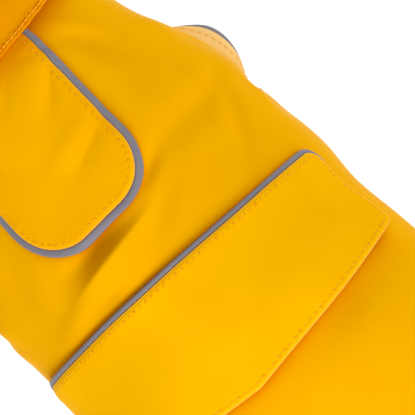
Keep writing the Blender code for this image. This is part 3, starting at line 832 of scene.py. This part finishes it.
def makeCollar():
    c = collar
    reach = radians(c["halfAngle"])
    angle = np.linspace(-reach, reach, c["columns"] + 1)[None, :]
    edge, fold, seam = collarLines(angle)
    bend = c["fallLift"] / 2
    inset = np.array(c["edgeRows"])[:, None]
    share = np.linspace(0, 1, c["fallRows"] + 1)[1:, None]
    turn = np.linspace(0, pi, c["foldRows"] + 2)[1:-1, None]
    stand = np.linspace(1, 0, c["standRows"])[:, None]
    nearEdge = edge - inset * np.clip((edge - fold) / c["squaredUpOver"], 0, 1)
    settle = -c["edgeSettles"] * bell(inset, c["settleWidth"])
    relief = stitchRelief(angle * meanRadius(c["edge"]), inset, c, 5)
    # edge, fall, turn and stand: station, lift, the way out of the cloth ahead and above, and paleness
    parts = (
        (nearEdge, c["fallLift"] + relief + settle, 0, 1, 0),
        (nearEdge[-1:] * (1 - share) + fold * share, c["fallLift"], 0, 1, 0),
        (fold - bend * np.sin(turn), bend + bend * np.cos(turn), -np.sin(turn), np.cos(turn),
         c["turnPale"] * np.sin(turn)),
        (seam * (1 - stand) + fold * stand, 0, 0, -1, 0),
    )
    station, lift, ahead, above, paleAndPaintedLight = (
        np.concatenate([np.broadcast_to(part[k], part[0].shape) for part in parts]) for k in range(5))
    step = c["upStep"]
    outer = coat(station + ahead * step, angle, lift + above * step)
    inner = coat(station - ahead * step, angle, lift - above * step)
    up = unit(outer - inner)
    (fallFrom, turnFrom, standFrom), (fallLong, turnLong, standLong) = c["cutStarts"], c["cutLengths"]
    down = np.concatenate([
        inset,
        fallFrom + fallLong * share,
        turnFrom + turnLong * turn / pi,
        standFrom + standLong * (1 - stand),
    ])
    flat = paired(down, angle * meanRadius(c["fold"]))
    middle = (outer + inner) / 2
    piece = closedSheet("turnedCollar", middle[::-1], up[::-1], c["thickness"], [shadedCollarCloth],
                        flat[::-1], paleAndPaintedLight[::-1])
    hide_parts("collar")
    return piece


def makeCollarStitches():
    c = collar
    reach = radians(c["halfAngle"]) - c["stitchShort"]
    samples = np.linspace(-reach, reach, c["samples"])
    station = collarLines(samples)[0] - c["stitchInset"]
    along, total = lengthAlong(paired(station, samples * meanRadius(c["edge"])))

    def place(at, lift):
        angle = np.interp(at, along, samples)
        top = c["fallLift"] - c["stitchSettles"] + c["thickness"] / 2
        return coat(np.interp(at, along, station), angle, top + lift)

    return stitchRow("collarStitches", place, total, 21, c["stitches"])


collarPiece = makeCollar()
collarPieces = [makeCollarStitches()]
print("collar ready")


# both flaps are laid from a loose edge in to a line down the middle
flapEdge = {
    # distances in from the edge, close together along the stitches, and then even rows
    "insetRows": (0, 0.0003, 0.0006, 0.0009, 0.0012, 0.0015, 0.0018, 0.0021, 0.0024, 0.0027,
                  0.003, 0.0034, 0.0039, 0.0046, 0.0055, 0.0068, 0.0085),
    "innerRows": 7,
    "pressed": 0.5,  # turned and pressed: this share of the thickness at the fold itself
    "pressedWidth": 0.0016,
    "paleAndPaintedLight": 0.1,
    "paleWidth": 0.0005,
}


def edgeThickness(thickness, inset):
    e = flapEdge
    return thickness * (e["pressed"] + (1 - e["pressed"]) * ramp(inset, 0.0, e["pressedWidth"]))


def edgePale(inset):
    return flapEdge["paleAndPaintedLight"] * bell(inset, flapEdge["paleWidth"])


def makeFlapSheet(name, form, outline, spot, inset, lift, cloth, seed, shade=0.0, wrap=False):
    station, across = spot
    lift = lift + stitchRelief(lengthAlong(outline)[0][:, None], inset, form, seed)
    up = normalOf(coatMiddle, station, across / meanRadius(station))
    # colour attribute: paler turned edges, less any painted shade
    return closedSheet(name, laid(station, across, lift), up, edgeThickness(form["thickness"], inset), [cloth],
                       paired(station, across), edgePale(inset) - shade, wrap=wrap, spine=True)


def flapPiping(name, node, path, shows):
    thick = pipingForm["thicknessOnFlaps"]
    return flatPiping(name, node, path, shows, liftOnPanel + thick / 2, thick)


def insetGrid(outline, inward, spine):
    # rows along the outline and columns from the spine out to the edge, with the distance in from the edge
    reach = spine - outline
    across = np.sum(reach * inward, axis=1)
    near = np.array(flapEdge["insetRows"])[None, :] / across[:, None]
    far = near[:, -1:] + (1 - near[:, -1:]) * np.linspace(0, 1, flapEdge["innerRows"] + 1)[None, 1:]
    share = np.concatenate([near, far], axis=1)[:, ::-1]
    return outline[:, None, :] + reach[:, None, :] * share[..., None], share * across[:, None]


leadFlap = {
    "thickness": 0.0011,
    "top": -0.1245,
    "end": -0.0362,
    "halfWidth": 0.0318,
    "corner": 0.0212,
    "shift": -0.0008,
    "seat": 0.0018,  # its lift under the collar
    "lift": 0.0032,
    "settlesBy": -0.1155,
    "edgeDrop": 0.00035,
    "dropWidth": 0.0012,
    "dropsFrom": -0.105,
    "spineShort": 0.026,
    "spacing": 0.00045,
    "cornerPoints": 75,
    "pipingStart": -0.115,
    "stitchStart": -0.118,
    "stitchInset": 0.0023,
    "stitchDepth": 0.00026,
    "stitchSettles": 0.00014,
    "pucker": 0.00004,
}


def leadFlapOutline(top):
    f = leadFlap
    quarter = np.linspace(0, pi / 2, f["cornerPoints"])
    start, flatEnd = f["end"] - f["corner"], f["halfWidth"] - f["corner"]
    side = np.linspace(top, start, int((start - top) / f["spacing"]), endpoint=False)
    end = np.linspace(flatEnd, 0, int(flatEnd / f["spacing"]) + 1)[1:]
    right = np.concatenate([
        paired(side, f["halfWidth"]),
        paired(start + f["corner"] * np.sin(quarter), flatEnd + f["corner"] * np.cos(quarter)),
        paired(f["end"], end),
    ])
    return np.concatenate([right, (right[:-1] * (1, -1))[::-1]])


def makeLeadFlap():
    f = leadFlap
    outline = leadFlapOutline(f["top"])
    spine = paired(np.minimum(outline[:, 0], f["end"] - f["spineShort"]), 0)
    spot, inset = insetGrid(outline, -leftOf(outline), spine)
    station, across = spot[..., 0], spot[..., 1] + f["shift"]
    lift = f["seat"] + (f["lift"] - f["seat"]) * ramp(station, f["top"], f["settlesBy"])
    drop = f["edgeDrop"] * bell(inset, f["dropWidth"])
    lift = lift - drop * ramp(station, f["settlesBy"], f["dropsFrom"])
    # painted shade behind the collar's edge
    shade = collarShade(station, across / meanRadius(station))
    piece = makeFlapSheet("leadFlap", f, outline, (station, across), inset, lift, rainCloth, 7, shade)
    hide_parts("lead_flap")
    return piece


def makeLeadFlapPiping():
    path = leadFlapOutline(leadFlap["pipingStart"]) + (0, leadFlap["shift"])
    return flapPiping("leadFlapPiping", "lead_flap_piping", path, pipingForm["shows"]["leadFlap"])


def makeLeadFlapStitches():
    f = leadFlap
    inside = insideOf(leadFlapOutline(f["stitchStart"]) + (0, f["shift"]), f["stitchInset"])
    top = f["lift"] - f["stitchSettles"] + f["thickness"] / 2
    return stitchPath("leadFlapStitches", inside, lambda station, across: top, 31)


leadFlapPiece = makeLeadFlap()
leadFlapPieces = [makeLeadFlapPiping(), makeLeadFlapStitches()]
print("lead flap ready")

rearFlap = {
    "thickness": 0.0011,
    "top": -0.0018,
    "halfWidth": 0.1002,
    "corner": 0.008,
    "lowerCorner": 0.0022,
    "point": 0.06,
    "sideEnd": 0.045,
    "pointRound": 0.002,
    "lift": 0.0032,
    "freeLift": 0.0046,
    "loosens": (0.15, 0.8),
    "sideSettles": (0.7, 1.0),
    "cornerLift": 0.0026,
    "cornerLifts": ((0.2, 1.0), (0.72, 1.0)),  # shares of the way down, and of the way out
    "topRunsBack": 0.0021,
    "runsBackOver": ((-0.03, 0.055), (0.0, 0.035)),  # distances across, and stations
    "rightRunsOut": 0.0018,
    "runsOutOver": (0.02, 0.1),
    "edgeDrop": 0.00035,
    "dropWidth": 0.0014,
    "dropLength": 0.006,
    "spacing": 0.0005,
    "cornerPoints": 26,
    "lowerCornerPoints": 10,
    "spineReach": 0.072,
    "spineStation": 0.027,
    "pipedCornerPoints": 24,
    "pipedTopPoints": 40,
    "stitchInset": 0.0023,
    "stitchDepth": 0.00028,
    "stitchSettles": 0.00016,
    "pucker": 0.00005,
}


def pulledRight(path):
    # sewn on a little out of line: its top edge runs back, and its right side out, towards the dog's right
    f = rearFlap
    station, across = path[:, 0], path[:, 1]
    overAcross, overStations = f["runsBackOver"]
    back = f["topRunsBack"] * ramp(across, *overAcross) * (1 - ramp(station, *overStations))
    return paired(station + back, across + f["rightRunsOut"] * ramp(across, *f["runsOutOver"]))


def upperCorner(turn):
    f = rearFlap
    return paired(f["top"] + f["corner"] * (1 - np.cos(turn)),
                  f["halfWidth"] - f["corner"] + f["corner"] * np.sin(turn))


def rearFlapOutline():
    # across the top from the dog's left, down the right side, back along the two lower edges, and up the left
    f = rearFlap
    slope = (f["point"] - f["sideEnd"]) / f["halfWidth"]
    reach = f["halfWidth"] - f["corner"]
    lowReach = f["halfWidth"] - f["lowerCorner"]
    across = np.linspace(-reach, reach, int(2 * reach / f["spacing"]) + 1)
    top = paired(f["top"], across)
    quarter = np.linspace(0, pi / 2, f["cornerPoints"])[1:-1]
    upper = upperCorner(quarter)
    lowCentre = f["point"] - slope * lowReach - f["lowerCorner"] * hypot(1, slope)
    sideCount = int((lowCentre - f["top"] - f["corner"]) / f["spacing"])
    side = np.linspace(f["top"] + f["corner"], lowCentre, sideCount, endpoint=False)
    sideLine = paired(side, f["halfWidth"])
    turn = np.linspace(0, atan2(1, slope), f["lowerCornerPoints"])
    lower = paired(lowCentre + f["lowerCorner"] * np.sin(turn), lowReach + f["lowerCorner"] * np.cos(turn))
    along = across[::-1]
    along = along[np.abs(along) < lower[-1, 1]]
    soft = np.sqrt(along**2 + f["pointRound"] ** 2) - f["pointRound"]
    bottom = paired(f["point"] - slope * soft, along)
    right = np.concatenate([upper, sideLine, lower])
    left = (right * (1, -1))[::-1]
    return pulledRight(np.concatenate([top, right, bottom, left]))


def closedLeftOf(path):
    around = np.concatenate([path[-2:], path, path[:2]])
    return leftOf(around)[2:-2]


def rearFlapLift(station, across):
    f = rearFlap
    bottom = f["point"] - (f["point"] - f["sideEnd"]) * np.abs(across) / f["halfWidth"]
    down = (station - f["top"]) / (bottom - f["top"])
    loose = ramp(down, *f["loosens"]) * (1 - ramp(across / f["halfWidth"], *f["sideSettles"]))
    bridged = foldHeight(station, across / meanRadius(station), flapHollows)
    lowDown, farOut = f["cornerLifts"]
    corner = f["cornerLift"] * ramp(down, *lowDown) * ramp(np.abs(across) / f["halfWidth"], *farOut)
    return f["lift"] + (f["freeLift"] - f["lift"]) * loose + corner - bridged


def makeRearFlap():
    f = rearFlap
    outline = rearFlapOutline()
    spine = paired(f["spineStation"], np.clip(outline[:, 1], -f["spineReach"], f["spineReach"]))
    spot, inset = insetGrid(outline, -closedLeftOf(outline), spine)
    station, across = spot[..., 0], spot[..., 1]
    atTop = 1 - ramp(station, f["top"], f["top"] + f["dropLength"])
    lift = rearFlapLift(station, across) - f["edgeDrop"] * atTop * bell(inset, f["dropWidth"])
    piece = makeFlapSheet("rearFlap", f, outline, (station, across), inset, lift, litRearFlapCloth, 9, wrap=True)
    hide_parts("rear_flap")
    return piece


def makeRearFlapPiping():
    f = rearFlap
    corner = upperCorner(np.linspace(0, pi / 2, f["pipedCornerPoints"])[:-1])
    reach = f["halfWidth"] - f["corner"]
    top = paired(f["top"], np.linspace(-reach, reach, f["pipedTopPoints"])[1:-1])
    path = pulledRight(np.concatenate([(corner * (1, -1))[::-1], top, corner]))
    return flapPiping("rearFlapPiping", "rear_flap_piping", path, pipingForm["shows"]["rearFlap"])


def makeRearFlapStitches():
    f = rearFlap
    outline = rearFlapOutline()
    inside = evenly(outline - closedLeftOf(outline) * f["stitchInset"], stitchForm["spacing"])

    def topAt(station, across):
        return rearFlapLift(station, across) - f["stitchSettles"] + f["thickness"] / 2

    return stitchPath("rearFlapStitches", inside, topAt, 41)


rearFlapPiece = makeRearFlap()
rearFlapPieces = [makeRearFlapPiping(), makeRearFlapStitches()]
print("rear flap ready")


# sewn on the left flank and closed on the right with hook and loop
bellyStrap = {
    "thickness": 0.0014,
    "stations": (-0.037, -0.009),
    "angles": (-122.0, 121.0),
    "leavesPanel": (141.0, 152.0),  # degrees between which it comes off the hem
    "columns": 300,
    "rowInsets": (0, 0.0005, 0.001, 0.0015, 0.002, 0.0025, 0.003, 0.0036, 0.0046, 0.0064, 0.009, 0.0115),
    "stitchInset": 0.0023,
    "stitchDepth": 0.00018,
    "stitchSettles": 0.00014,
    "stitchSamples": 700,
    "pucker": 0.00005,
    "seat": 0.00075,
    "edgePale": 0.15,
    "paleWidth": 0.0008,
    "tape": 0.0009,  # its right end lies on two thicknesses of tape
    "tapeGap": 0.0003,
}


def strapTurns(count):
    # angles from the end on the left flank, round below, to the end on the right
    left, right = (radians(a) for a in bellyStrap["angles"])
    return np.linspace(left, right - 2 * pi, count)


def withinHalfTurn(turn):
    return np.where(turn < -pi, turn + 2 * pi, turn)


def strapLift(angle):
    s = bellyStrap
    sewn = liftOnPanel + s["seat"]
    closed = sewn + 2 * (s["tape"] + s["tapeGap"])
    onPanel = 1 - ramp(np.abs(np.degrees(angle)), *s["leavesPanel"])
    return onPanel * np.where(angle < 0, sewn, closed)


def makeBellyStrap():
    s = bellyStrap
    turn = strapTurns(s["columns"] + 1)[None, :]
    front, back = s["stations"]
    inset = np.array(s["rowInsets"])
    station = np.concatenate([front + inset, [(front + back) / 2], (back - inset)[::-1]])[:, None] + 0 * turn
    signed = withinHalfTurn(turn) + 0 * station
    fromEdge = np.minimum(station - front, back - station)
    along = (turn[0, 0] - turn) * meanRadius((front + back) / 2)
    relief = stitchRelief(along, fromEdge, s, 13)
    lift = strapLift(signed) + relief
    middle, up = coat(station, signed, lift), normalOf(coatMiddle, station, signed)
    flat = np.stack(np.broadcast_arrays(station, -along), axis=-1)
    paleAndPaintedLight = s["edgePale"] * bell(fromEdge, s["paleWidth"])
    piece = closedSheet("bellyStrap", middle[:, ::-1], up[:, ::-1], s["thickness"], [rainCloth],
                        flat[:, ::-1], paleAndPaintedLight[:, ::-1])
    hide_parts("belly_strap")
    return piece


def makeStrapStitches(name, station, seed):
    s = bellyStrap
    turns = strapTurns(s["stitchSamples"])
    along = (turns[0] - turns) * meanRadius(station)

    def place(at, lift):
        angle = withinHalfTurn(np.interp(at, along, turns))
        return coat(station, angle, strapLift(angle) - s["stitchSettles"] + s["thickness"] / 2 + lift)

    return stitchRow(name, place, along[-1], seed)


fastening = {
    "thickness": 0.0009,
    "strapAngles": (122.0, 134.5),
    "strapStations": (-0.034, -0.012),
    "chestHalfAngle": 9.0,
    "chestStations": (-0.133, -0.112),
    "grid": (28, 34),
    "tuft": 0.00018,  # its nap is a field of small tufts
}


def makeTape(name, node, stations, angles, lift, seed):
    f = fastening
    rows, cols = f["grid"]
    station = np.linspace(*stations, rows + 1)[:, None] + 0 * np.zeros((1, cols + 1))
    angle = np.radians(np.linspace(*angles, cols + 1))[None, :] + 0 * station
    tufts = np.random.default_rng(seed).uniform(-0.5, 0.5, station.shape) * f["tuft"]
    middle, up = coat(station, angle, lift), normalOf(coatMiddle, station, angle)
    flat = paired(station, angle * meanRadius(station))
    piece = closedSheet(name, middle, up, f["thickness"] - f["tuft"] + tufts, [fasteningTape],
                        flat, 0 * station)
    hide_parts(node)
    return piece


strapPiece = makeBellyStrap()
strapPieces = [
    makeStrapStitches("strapStitchesFront", bellyStrap["stations"][0] + bellyStrap["stitchInset"], 51),
    makeStrapStitches("strapStitchesBack", bellyStrap["stations"][1] - bellyStrap["stitchInset"], 53),
]
tapeLift = liftOnPanel + fastening["thickness"] / 2
stackedLift = tapeLift + fastening["thickness"] + bellyStrap["tapeGap"]
strapPlace = (fastening["strapStations"], fastening["strapAngles"])
halfTurn = fastening["chestHalfAngle"]
rightWing, leftWing = ((turn - halfTurn, turn + halfTurn) for turn in (180, -180))
tapePieces = [
    makeTape("strapLoopTape", "strap_loop_tape", *strapPlace, tapeLift, 61),
    makeTape("strapHookTape", "strap_hook_tape", *strapPlace, stackedLift, 62),
    makeTape("chestHookTape", "chest_hook_tape", fastening["chestStations"], rightWing, -tapeLift, 63),
    makeTape("chestLoopTape", "chest_loop_tape", fastening["chestStations"], leftWing, tapeLift, 64),
]
print("strap and tapes ready")


# a light table lit from below, under a plain pale sky and three softboxes
studio = {
    "floor": -0.3,
    "floorSize": 60.0,
    "floorColour": "8c8c8c",
    "floorRoughness": 0.6,
    "floorGlow": 0.95,
    "skyColour": "fff2e0",
    "skyStrength": 0.44,
    "softboxes": {  # watts, size in metres, place
        "keySoftbox": (13.3, 0.7, (1.05, -0.36, 0.76)),
        "fillSoftbox": (7.6, 1.4, (0.28, 0.98, 1.2)),
        "sideSoftbox": (1.6, 0.9, (-0.2, 1.3, -0.1)),
    },
    "aim": (0.0, 0.0, -0.02),
}


def aimed(place, target):
    return (Vector(target) - Vector(place)).to_track_quat("-Z", "Y").to_matrix().to_4x4()


def makeStudio():
    s = studio
    half = s["floorSize"] / 2
    mesh = bpy.data.meshes.new("studioFloor")
    mesh.from_pydata([(-half, -half, 0), (half, -half, 0), (half, half, 0), (-half, half, 0)], [], [(0, 1, 2, 3)])
    floor = linked("studioFloor", mesh)
    floor.location.z = s["floor"]
    made, tree = newMaterial("opalAcrylicLightTable")  # white acrylic, lit from below: no shadow on it
    mesh.materials.append(finishMaterial(
        made, tree,
        {"Base Color": hexColour(s["floorColour"]), "Roughness": s["floorRoughness"],
         "Emission Color": hexColour("ffffff"), "Emission Strength": s["floorGlow"]}, None))

    world = bpy.data.worlds.new("whiteStudio")
    world.use_nodes = True
    world.node_tree.nodes["Background"].inputs["Color"].default_value = hexColour(s["skyColour"])
    world.node_tree.nodes["Background"].inputs["Strength"].default_value = s["skyStrength"]
    bpy.context.scene.world = world

    for name, (watts, size, place) in s["softboxes"].items():
        light = bpy.data.lights.new(name, "AREA")
        light.shape = "SQUARE"
        light.size = size
        light.energy = watts
        linked(name, light).matrix_world = Matrix.Translation(place) @ aimed(place, s["aim"])


camera = {
    "leanRight": 8.7,  # degrees off straight above, towards the dog's right
    "leanTail": 2.7,
    "roll": 43.2,
    "distance": 4.0,
    "sensor": 36.0,
    "frameWidth": 0.1743,
    "rightOfBack": 0.0349,  # middle of the frame, off the origin
    "behindSeam": -0.0096,
    "depth": -0.022,
    "clipEnd": 100.0,
}


def makeCamera():
    c = camera
    lean, tip, roll = (radians(c[name]) for name in ("leanRight", "leanTail", "roll"))
    toEye = Vector((sin(tip), cos(tip) * sin(lean), cos(tip) * cos(lean)))
    right = Vector((0, cos(lean), -sin(lean)))
    tail = Vector((cos(tip), -sin(tip) * sin(lean), -sin(tip) * cos(lean)))
    frameRight = right * cos(roll) + tail * sin(roll)
    frameUp = right * sin(roll) - tail * cos(roll)
    aim = right * c["rightOfBack"] + tail * c["behindSeam"] + toEye * c["depth"]
    data = bpy.data.cameras.new("camera")
    data.sensor_width = c["sensor"]
    data.lens = c["sensor"] * c["distance"] / c["frameWidth"]
    data.clip_end = c["clipEnd"]
    eye = linked("camera", data)
    eye.matrix_world = Matrix.Translation(aim + toEye * c["distance"]) @ Matrix(
        (frameRight, frameUp, toEye)).transposed().to_4x4()
    bpy.context.scene.camera = eye
    bpy.context.scene.view_settings.view_transform = "Standard"


makeStudio()
makeCamera()
print("studio ready")
